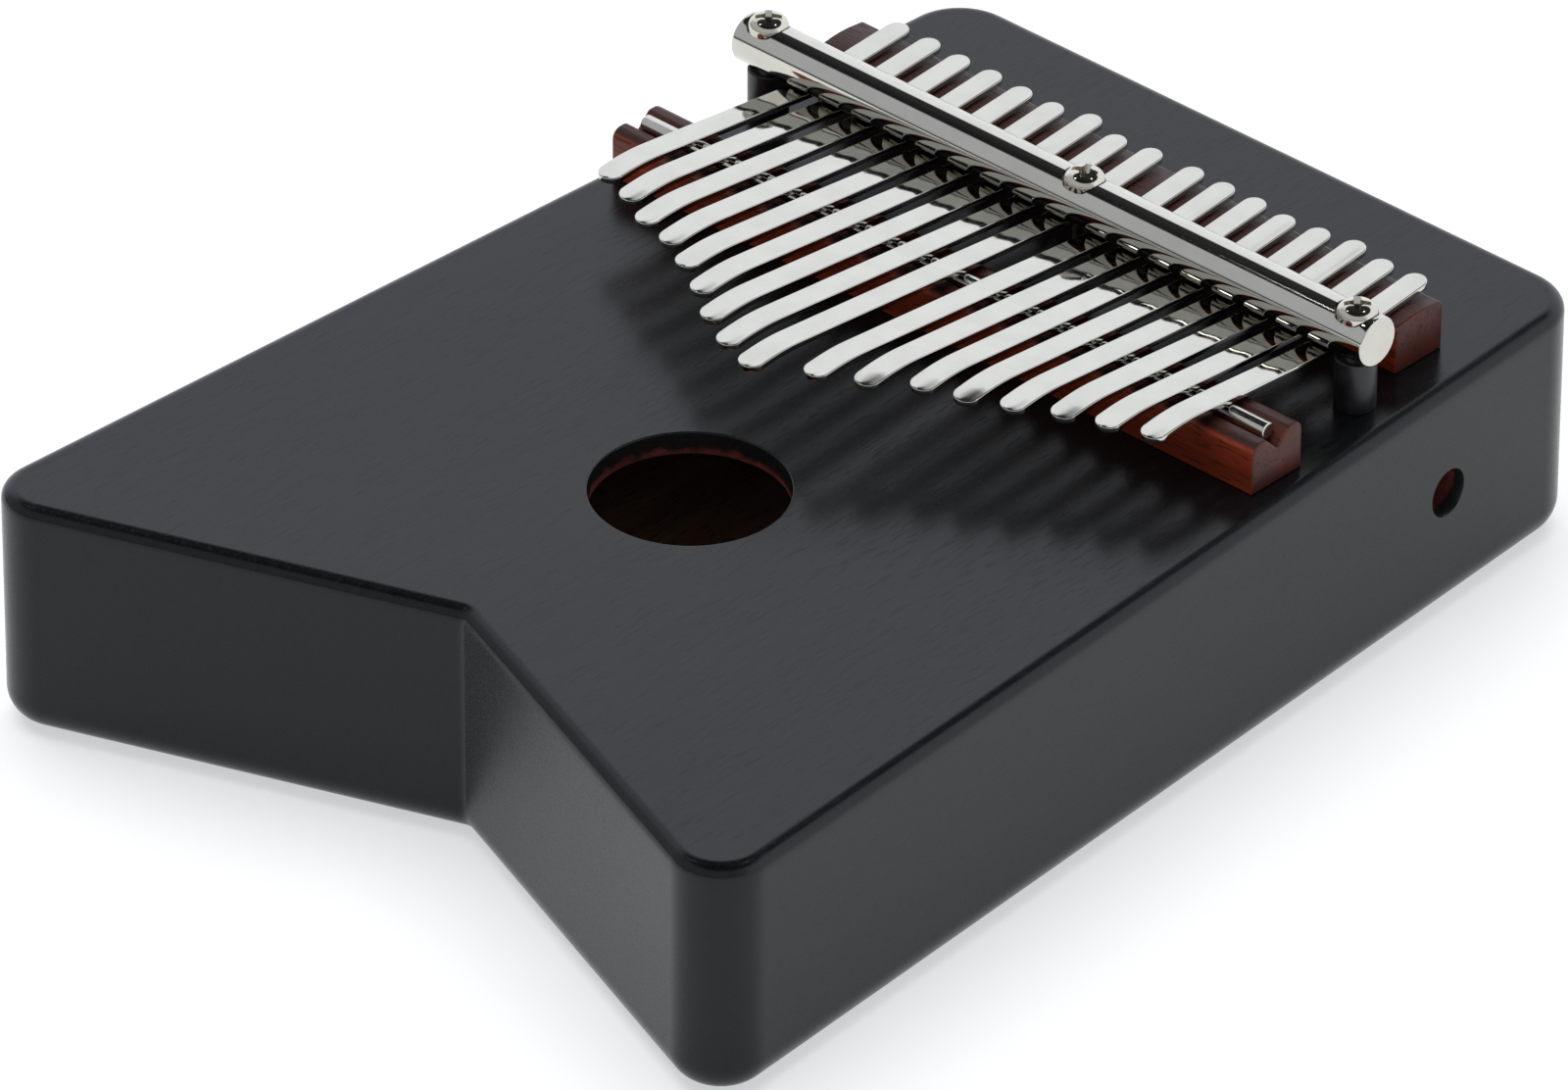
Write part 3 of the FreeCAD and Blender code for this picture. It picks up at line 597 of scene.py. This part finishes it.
def rail(name, corners, x_low, x_high, material):
    """A wooden rail along X with a section of (y, z, radius) corners and eased ends."""
    easing = 0.3 * MM
    bm = bmesh.new()
    section = rounded(corners, 8, 3.0 * MM)
    stations = []
    for k in range(5):
        turn = math.radians(90.0 * k / 4)
        stations.append((easing * (1.0 - math.sin(turn)), easing * (1.0 - math.cos(turn))))
    stations.append((0.0, easing + 0.3 * MM))
    slices = [(inset, x_low + depth) for inset, depth in stations]
    slices += [(inset, x_high - depth) for inset, depth in reversed(stations)]
    loops = [
        ring(bm, [Vector((x, *(point - normal * inset))) for point, normal in section]) for inset, x in slices
    ]
    skins(bm, loops)
    fill(bm, [loops[0]])
    fill(bm, [loops[-1]])
    return finish_mesh(name, bm, [material])


FOOT_ROUND = 0.2 * MM


def make_front_bridge(material):
    """A rail with a V groove that holds the rod; both shoulders are rounded over."""
    (x_low, y_low, z_low), (x_high, y_high, z_high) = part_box("front_bridge")
    middle = 0.5 * (y_low + y_high)
    _, rod_z, rod_radius, _, _ = round_middle("bridge_rod")
    floor = rod_z - rod_radius * math.sqrt(2.0) - 0.05 * MM
    groove = z_high - floor
    shoulder, lip, valley = 1.5 * MM, 0.8 * MM, 0.25 * MM
    corners = [
        (y_low, z_low, FOOT_ROUND), (y_high, z_low, FOOT_ROUND), (y_high, z_high, shoulder),
        (middle + groove, z_high, lip), (middle, floor, valley), (middle - groove, z_high, lip),
        (y_low, z_high, shoulder),
    ]
    return rail("front_bridge_rail", corners, x_low, x_high, material)


def make_rear_bridge(material):
    """A rail whose top is slightly crowned under the tails of the tines."""
    (x_low, y_low, z_low), (x_high, y_high, z_high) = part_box("rear_bridge")
    middle = 0.5 * (y_low + y_high)
    edge = z_high - 0.44 * MM
    shoulder, ridge, crown = 0.7 * MM, z_high + 0.12 * MM, 20.0 * MM
    corners = [
        (y_low, z_low, FOOT_ROUND), (y_high, z_low, FOOT_ROUND), (y_high, edge, shoulder),
        (middle, ridge, crown), (y_low, edge, shoulder),
    ]
    return rail("rear_bridge_rail", corners, x_low, x_high, material)


def bar_profile(radius, low, high, easing):
    """A solid round bar from low to high with softened ends, as a lathe profile."""
    flat = radius - easing
    land = 0.1 * MM
    start = [(flat - land, low)] + quarter((flat, low + easing), easing, -90, 0, 5)
    end = quarter((flat, high - easing), easing, 0, 90, 5) + [(flat - land, high)]
    return [(0.0, low)] + start + end + [(0.0, high)]


def along_x(y, z):
    """Places a lathe profile on an axis along X."""
    return lambda a, b, h: Vector((h, y + a, z + b))


def upright(x, y, base=0.0):
    """Places a lathe profile on a vertical axis, from a base height."""
    return lambda a, b, h: Vector((x + a, y + b, base + h))


def round_middle(node):
    """A round CAD node lying along X: its axis (y, z), its radius and both ends."""
    low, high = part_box(node)
    radius = 0.5 * (high[2] - low[2])
    return 0.5 * (low[1] + high[1]), 0.5 * (low[2] + high[2]), radius, low[0], high[0]


ROD_RELIEF = 0.04 * MM


def make_rod(material):
    """The bright rod in the groove, a hair thin so that a tine slid for tuning never grazes it."""
    y, z, radius, low, high = round_middle("bridge_rod")
    bm = bmesh.new()
    lathe(bm, bar_profile(radius - ROD_RELIEF, low, high, 0.25 * MM), along_x(y, z), 48)
    return finish_mesh("bridge_rod_bright", bm, [material])


def make_post(side, material):
    """A spacer sleeve between the soundboard and the bar."""
    low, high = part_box(side + "_post")
    x, y = 0.5 * (low[0] + high[0]), 0.5 * (low[1] + high[1])
    radius = 0.5 * (high[0] - low[0])
    bm = bmesh.new()
    lathe(bm, bar_profile(radius, low[2], high[2], 0.15 * MM), upright(x, y), 64)
    return finish_mesh(side + "_post_sleeve", bm, [material])


# ---------------------------------------------------------------- bar and screws

SEAT_HEIGHT = 2.35 * MM
SEAT_RADIUS = 2.95 * MM
HEAD_RADIUS = 2.75 * MM
HEAD_HEIGHT = 2.2 * MM
FLANGE = 0.55 * MM
SHANK_RADIUS = 1.45 * MM
SIDES = ("left", "middle", "right")


def screw_axis(side):
    """Where a screw stands on the plan."""
    low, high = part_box(side + "_screw")
    return 0.5 * (low[0] + high[0]), 0.5 * (low[1] + high[1])


def make_bar(material):
    """The polished bar with a round flat-bottomed seat cut for each screw."""
    y, z, radius, low, high = round_middle("pressure_bar")
    bm = bmesh.new()
    lathe(bm, bar_profile(radius, low, high, 0.35 * MM), along_x(y, z), 160)
    bar = finish_mesh("pressure_bar_bright", bm, [material])
    cutters = []
    bevel = 0.25 * MM
    for side in SIDES:
        x, _ = screw_axis(side)
        seat = bmesh.new()
        profile = [(0.0, SEAT_HEIGHT), (SEAT_RADIUS - bevel, SEAT_HEIGHT), (SEAT_RADIUS, SEAT_HEIGHT + bevel)]
        profile += [(SEAT_RADIUS, 2.0 * radius), (0.0, 2.0 * radius)]
        lathe(seat, profile, upright(x, y, z), 64)
        cutters.append(finish_mesh("seat_cutter_" + side, seat, []))
    cut(bar, *cutters)
    bar.data.set_sharp_from_angle(angle=math.radians(25.0))
    return bar


def cross(long_half, half, bend):
    """A cross with rounded inner corners, as points; long_half is an arm's reach, half its half width."""
    points = []
    corner = half + bend
    for quadrant in range(4):
        turn = Matrix.Rotation(math.radians(90.0 * quadrant), 2)
        points.append(turn @ Vector((long_half, -half)))
        points.append(turn @ Vector((long_half, half)))
        for k in range(5):
            angle = math.radians(270.0 - 90.0 * k / 4)
            points.append(turn @ Vector((corner + bend * math.cos(angle), corner + bend * math.sin(angle))))
    return points


def make_screw(side, turn, material):
    """A pan-head screw with a tapered cross recess."""
    low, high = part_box(side + "_screw")
    x, y = screw_axis(side)
    seat = high[2] - HEAD_HEIGHT
    bm = bmesh.new()
    bevel, point = 0.12 * MM, 1.0 * MM
    profile = [(0.0, low[2]), (0.6 * SHANK_RADIUS, low[2]), (SHANK_RADIUS, low[2] + point)]
    profile += [(SHANK_RADIUS, seat), (HEAD_RADIUS - bevel, seat), (HEAD_RADIUS, seat + bevel)]
    profile += [(HEAD_RADIUS, seat + FLANGE)]
    dome = HEAD_HEIGHT - FLANGE
    steps = 14
    for k in range(1, steps):
        angle = math.radians(90.0 * k / steps)
        out, up = math.cos(angle) ** 0.72, math.sin(angle) ** 0.9
        profile.append((HEAD_RADIUS * out, seat + FLANGE + dome * up))
    profile += [(0.0, high[2])]
    lathe(bm, profile, upright(x, y), 96)
    screw = finish_mesh(side + "_screw_bright", bm, [material])
    cut(screw, make_recess("recess_cutter_" + side, x, y, high[2] + 0.02 * MM, turn))
    screw.data.set_sharp_from_angle(angle=math.radians(30.0))
    return screw


def make_recess(name, x, y, top, turn):
    """The tapered cross to take out of a screw's head."""
    # an arm's reach, its half width, the inner corners' radius and the height over the top, all in mm
    levels = [
        (2.0, 0.52, 0.42, 0.3), (1.78, 0.45, 0.38, -0.25),
        (1.30, 0.36, 0.30, -1.0), (0.62, 0.28, 0.20, -1.55),
    ]
    spin = Matrix.Rotation(turn, 2)
    bm = bmesh.new()
    loops = []
    for reach, half, bend, height in levels:
        spun = [spin @ point for point in cross(reach * MM, half * MM, bend * MM)]
        loops.append(ring(bm, [Vector((x + point.x, y + point.y, top + height * MM)) for point in spun]))
    skins(bm, loops)
    bm.faces.new(loops[0])
    bm.faces.new(loops[-1])
    return finish_mesh(name, bm, [])


# ---------------------------------------------------------------- tines

TINE_WIDTH = 3.45 * MM
TINE_THICK = 0.85 * MM
EDGE_ROUND = 0.12 * MM
FLARE = 0.085
FLARE_RUN = 6.0 * MM
TONGUE_SLOPE = math.tan(math.radians(4.9))
TIP_RUN = 6.0 * MM
TIP_SLOPE = math.tan(math.radians(7.5))
TAIL_SLOPE = math.tan(math.radians(5.6))
VALLEY_BEND = 9.0 * MM
TIP_BEND = 30.0 * MM
CROWN = 0.025 * MM
HAND_WORK = random.Random(17)


def bent_path(points, bends, step):
    """A smooth path in the (run, height) plane: straight runs with an arc of bends[i] at inner point i."""
    path = [Vector(points[0])]
    for i in range(1, len(points) - 1):
        here = Vector(points[i])
        back = (Vector(points[i - 1]) - here).normalized()
        ahead = (Vector(points[i + 1]) - here).normalized()
        half = 0.5 * back.angle(ahead)
        reach = bends[i - 1] / math.tan(half)
        centre = here + (back + ahead).normalized() * (bends[i - 1] / math.sin(half))
        start = here + back * reach
        sweep = math.pi - 2.0 * half
        if (-back).cross(ahead) < 0.0:
            sweep = -sweep
        for k in range(9):
            path.append(centre + Matrix.Rotation(sweep * k / 8, 2) @ (start - centre))
    path.append(Vector(points[-1]))
    dense = [path[0]]
    for first, second in zip(path, path[1:]):
        pieces = max(1, math.ceil((second - first).length / step))
        dense += [first.lerp(second, k / pieces) for k in range(1, pieces + 1)]
    return dense


class Path:
    """Looks up a place and an upward normal on a polyline by its length from the start."""

    def __init__(self, points):
        self.points = points
        self.lengths = [0.0]
        for first, second in zip(points, points[1:]):
            self.lengths.append(self.lengths[-1] + (second - first).length)
        self.normals = []
        for i in range(len(points)):
            run = points[min(i + 1, len(points) - 1)] - points[max(i - 1, 0)]
            self.normals.append(Vector((-run.y, run.x)).normalized())

    def at(self, length):
        """The place and the normal at a length, held between both ends."""
        length = min(max(length, 0.0), self.lengths[-1])
        i = 0
        while i < len(self.points) - 2 and self.lengths[i + 1] < length:
            i += 1
        share = (length - self.lengths[i]) / (self.lengths[i + 1] - self.lengths[i])
        return self.points[i].lerp(self.points[i + 1], share), self.normals[i].lerp(self.normals[i + 1], share)


def make_tine(number, material):
    """One strip of spring steel from its tail to its tip, laid along a bent path."""
    key = "tine_%02d" % number
    pluck = joints[key + "_pluck"]
    hinge = Vector(pluck["pos_m"])
    across = Vector(pluck["axis"]).normalized()
    along = Vector((-across.y, across.x, 0.0))
    root_low, root_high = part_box(key + "_root")
    tongue_low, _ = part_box(key + "_tongue")
    bar_low, bar_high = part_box("pressure_bar")
    half_skew = 0.5 * TINE_WIDTH * abs(along.x)
    tail_run = (root_high[1] - hinge.y - half_skew) / along.y
    tip_run = (hinge.y - tongue_low[1] - half_skew) / along.y
    valley_run = (0.5 * (bar_low[1] + bar_high[1]) - hinge.y) / along.y

    # the underside's height over the hinge's own level, along the run from the hinge (positive to the tail)
    floor = -0.5 * TINE_THICK
    valley = root_low[2] - hinge.z
    tip_slope = TIP_SLOPE + math.tan(math.radians(HAND_WORK.uniform(-2.6, 0.0)))
    roll = math.tan(math.radians(HAND_WORK.uniform(-0.4, 0.4)))
    knee_run = tip_run - TIP_RUN
    knee = floor + knee_run * TONGUE_SLOPE
    bends = [
        (-tip_run, knee - TIP_RUN * tip_slope), (-knee_run, knee), (valley_run, valley),
        (tail_run, valley + (tail_run - valley_run) * TAIL_SLOPE),
    ]
    path = Path(bent_path(bends, (TIP_BEND, VALLEY_BEND), 1.2 * MM))
    total = path.lengths[-1]

    radius = 0.5 * TINE_WIDTH
    arc_steps = 14
    start_sides = radius + 0.1 * MM
    end_sides = total - radius - 0.1 * MM
    straight = [length for length in path.lengths if start_sides < length < end_sides]

    def side_points(inset):
        """(half width, length) from the tip's apex to the tail's apex, for a loop moved in by inset."""
        reach = radius - inset
        points = []
        for k in range(arc_steps + 1):
            angle = math.radians(90.0 * k / arc_steps)
            points.append((reach * math.sin(angle), radius - reach * math.cos(angle)))
        points += [(reach, length) for length in straight]
        for k in range(arc_steps + 1):
            angle = math.radians(90.0 * (1.0 - k / arc_steps))
            points.append((reach * math.sin(angle), total - radius + reach * math.cos(angle)))
        return points

    def placed(out, length, height):
        """The place of a point out across the strip, a length from the tip, over the underside."""
        spot, normal = path.at(length)
        share = min(max((valley_run - spot.x) / (valley_run + FLARE_RUN), 0.0), 1.0)
        out *= 1.0 + FLARE * share * share * (3.0 - 2.0 * share)
        run = spot.x + normal.x * height
        rise = spot.y + normal.y * height + roll * out
        return hinge + across * out + along * run + Vector((0.0, 0.0, rise))

    def flat(loop, level, bulge):
        """Closes one broad side with rows of five across the strip, raised in the middle by the bulge."""
        inset, height = level
        points = side_points(inset)
        count = len(points)
        left = [loop[0]] + loop[count:][::-1] + [loop[count - 1]]
        rows = [[loop[0]] * 5]
        for k in range(1, count - 1):
            out, length = points[k]
            inner = []
            for share in (0.5, 0.0, -0.5):
                raised = height + bulge * (1.0 - share * share)
                inner.append(bm.verts.new(placed(out * share, length, raised)))
            rows.append([loop[k]] + inner + [left[k]])
        rows.append([loop[count - 1]] * 5)
        for first, second in zip(rows, rows[1:]):
            for i in range(4):
                bm.faces.new(list(dict.fromkeys((first[i], first[i + 1], second[i + 1], second[i]))))

    bm = bmesh.new()
    land = 0.04 * MM
    edge = quarter((0.0, 0.0), EDGE_ROUND, 90, 0, 5)
    levels = [(EDGE_ROUND + land, TINE_THICK)]
    levels += [(EDGE_ROUND - out, TINE_THICK - EDGE_ROUND + up) for out, up in edge]
    levels += [(inset, TINE_THICK - height) for inset, height in reversed(levels)]
    loops = []
    for inset, height in levels:
        right = [placed(out, length, height) for out, length in side_points(inset)]
        left = [placed(-out, length, height) for out, length in side_points(inset)[1:-1]]
        loops.append(ring(bm, right + left[::-1]))
    skins(bm, loops)
    flat(loops[0], levels[0], CROWN)
    flat(loops[-1], levels[-1], 0.0)
    tine = finish_mesh(key, bm, [material], sharp=50.0)
    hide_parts(key + "_root", key + "_tongue")
    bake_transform(tine)
    return tine


# ---------------------------------------------------------------- build the object

def add(piece, slot, *nodes):
    """Rides a piece on the case and hides the CAD nodes it stands for; slot is not used."""
    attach(piece, "case")
    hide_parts(*nodes)


lacquer = lacquer_material()
bare_wood = bare_wood_material()
red_wood = red_wood_material()
hole_wall = cut_edge_material("hole_wall", 2, BOARD_TOP, -3.0 * MM)
vent_wall = cut_edge_material("vent_wall", 0, VENT_MOUTH, -2.4 * MM)
NICKEL = (0.590, 0.580, 0.530)
bar_nickel = nickel_material("nickel_bar", NICKEL, 0.055, axis=0)
rod_nickel = nickel_material("nickel_rod", NICKEL, 0.10, axis=0)
screw_nickel = nickel_material("screw_steel", (0.60, 0.57, 0.50), 0.08)
tine_nickel = nickel_material("tine_steel", NICKEL, 0.05, axis=1, waves=0.00003)
post_black = post_material()

add(make_soundboard([lacquer, hole_wall, bare_wood]), "black_lacquer", "soundboard")
add(make_rim([lacquer, vent_wall, bare_wood]), "black_lacquer", "body_rim")
add(make_back([lacquer, bare_wood]), "black_lacquer", "back_plate")
add(make_front_bridge(red_wood), "red_wood", "front_bridge")
add(make_rear_bridge(red_wood), "red_wood", "rear_bridge")
add(make_rod(rod_nickel), "nickel_rod", "bridge_rod")
add(make_bar(bar_nickel), "nickel_bar", "pressure_bar")
for side in ("left", "right"):
    add(make_post(side, post_black), "black_post", side + "_post")
for side, degrees in (("left", 43.0), ("middle", 20.0), ("right", 43.0)):
    add(make_screw(side, math.radians(degrees), screw_nickel), "screw_steel", side + "_screw")
TINE_COUNT = sum(name.endswith("_pluck") for name in joints)
for number in range(1, TINE_COUNT + 1):
    make_tine(number, tine_nickel)

brace = frame["nodes"]["screw_brace"]
brace.data.materials.clear()
brace.data.materials.append(bare_wood)

# ---------------------------------------------------------------- studio


def make_floor():
    """A wide plain floor, a hair under the back so that the two never share a plane."""
    bm = bmesh.new()
    bmesh.ops.create_grid(bm, x_segments=8, y_segments=8, size=4.0)
    floor = finish_mesh("floor", bm, [floor_material()])
    floor.location.z = -0.2 * MM


def make_world():
    """Soft studio surroundings: white walls behind, greyer ones in front with a dim foot, and a dark roof."""
    world = bpy.data.worlds.new("studio")
    world.use_nodes = True
    bpy.context.scene.world = world
    n = Nodes(world.node_tree)
    background = world.node_tree.nodes["Background"]
    coords = n.add("ShaderNodeTexCoord")
    split = n.add("ShaderNodeSeparateXYZ")
    n.link(coords.outputs["Generated"], split.inputs[0])
    y, z = split.outputs[1], split.outputs[2]
    wall = n.range(y, -0.20, 0.30, 0.60, 1.25, smooth=True)
    ceiling = n.math("ADD", z, n.math("MULTIPLY", y, 0.10))
    roof = n.range(ceiling, 0.715, 0.755, 1.0, 0.03, smooth=True)
    behind = n.math("MAXIMUM", n.math("MULTIPLY", y, 4.0), 0.0)
    horizon = n.range(n.math("ADD", z, behind), 0.03, 0.15, 0.15, 1.0, smooth=True)
    n.link(n.math("MULTIPLY", wall, n.math("MULTIPLY", roof, horizon)), background.inputs["Strength"])
    background.inputs["Color"].default_value = (0.955, 0.985, 1.05, 1.0)


def make_light(name, place, size, power, in_reflections):
    """A square area light that looks at the origin."""
    data = bpy.data.lights.new(name, "AREA")
    data.shape = "SQUARE"
    data.size = size
    data.energy = power
    light = bpy.data.objects.new(name, data)
    light.location = place
    light.rotation_euler = light.location.to_track_quat("Z", "Y").to_euler()
    light.visible_glossy = in_reflections
    bpy.context.scene.collection.objects.link(light)


def make_lights():
    """A wide light for floor and wood, left out of the reflections, and two small ones that only glint."""
    make_light("overhead", (-0.40, 0.20, 1.9), 2.2, 74.0, False)
    make_light("glint_left", (-0.80, -0.25, 1.45), 0.10, 0.35, True)
    make_light("glint_right", (0.28, 0.60, 1.50), 0.10, 0.35, True)


def make_camera():
    """A long lens at the usual three-quarter product angle."""
    azimuth, elevation, roll = (math.radians(a) for a in (42.69, 33.47, 0.238))
    level = math.cos(elevation)
    look = Vector((-math.sin(azimuth) * level, math.cos(azimuth) * level, -math.sin(elevation)))
    aim = Vector((1.51, -8.205, 17.4)) * MM
    distance = 1.8982
    data = bpy.data.cameras.new("camera")
    data.sensor_width = 36.0
    data.lens = 338.5
    data.clip_start = 0.05
    data.clip_end = 20.0
    camera = bpy.data.objects.new("camera", data)
    camera.location = aim - look * distance
    turned = look.to_track_quat("-Z", "Y").to_matrix() @ Matrix.Rotation(roll, 3, "Z")
    camera.rotation_euler = turned.to_euler()
    bpy.context.scene.collection.objects.link(camera)
    bpy.context.scene.camera = camera


make_floor()
make_world()
make_lights()
make_camera()
bpy.context.scene.view_settings.view_transform = "Standard"
